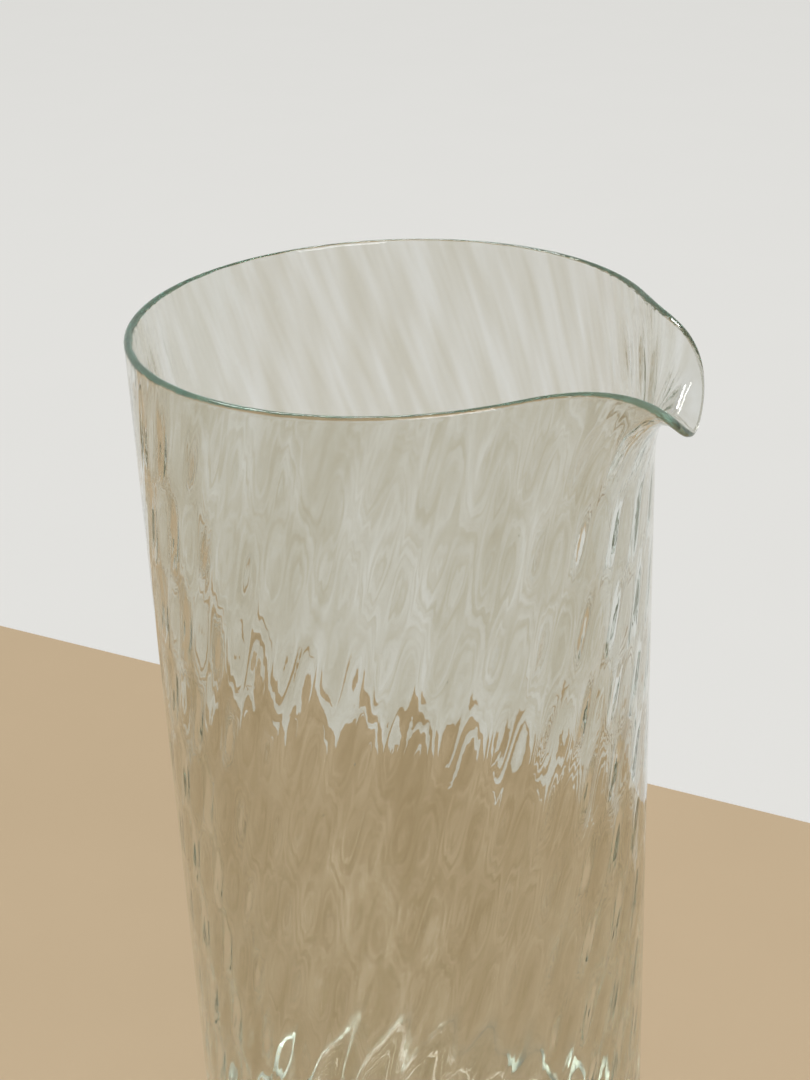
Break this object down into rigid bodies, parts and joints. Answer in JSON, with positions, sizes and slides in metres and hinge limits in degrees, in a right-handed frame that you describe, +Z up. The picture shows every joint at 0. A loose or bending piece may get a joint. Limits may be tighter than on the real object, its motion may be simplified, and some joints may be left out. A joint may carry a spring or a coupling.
{
  "type": "pitcher",
  "caption": "Straight-sided clear glass pitcher with a twisted diamond optic in its wall, a thick flat base and a pouring lip pulled from the rim, for holding and serving drinks.",
  "frame": {"origin": "centre of the base's flat underside, on the body's axis", "axes": "+Z up along the body's axis, +X towards the pouring lip"},
  "size_m": [0.1215, 0.11, 0.25],
  "materials": {
    "clear_glass": "fire-polished clear soda-lime glass with a faint green tint, seen most at the rim's edge"
  },
  "bodies": {
    "root": {"base": "clear_glass", "body_wall": "clear_glass", "spouted_rim": "clear_glass"}
  },
  "joints": []
}
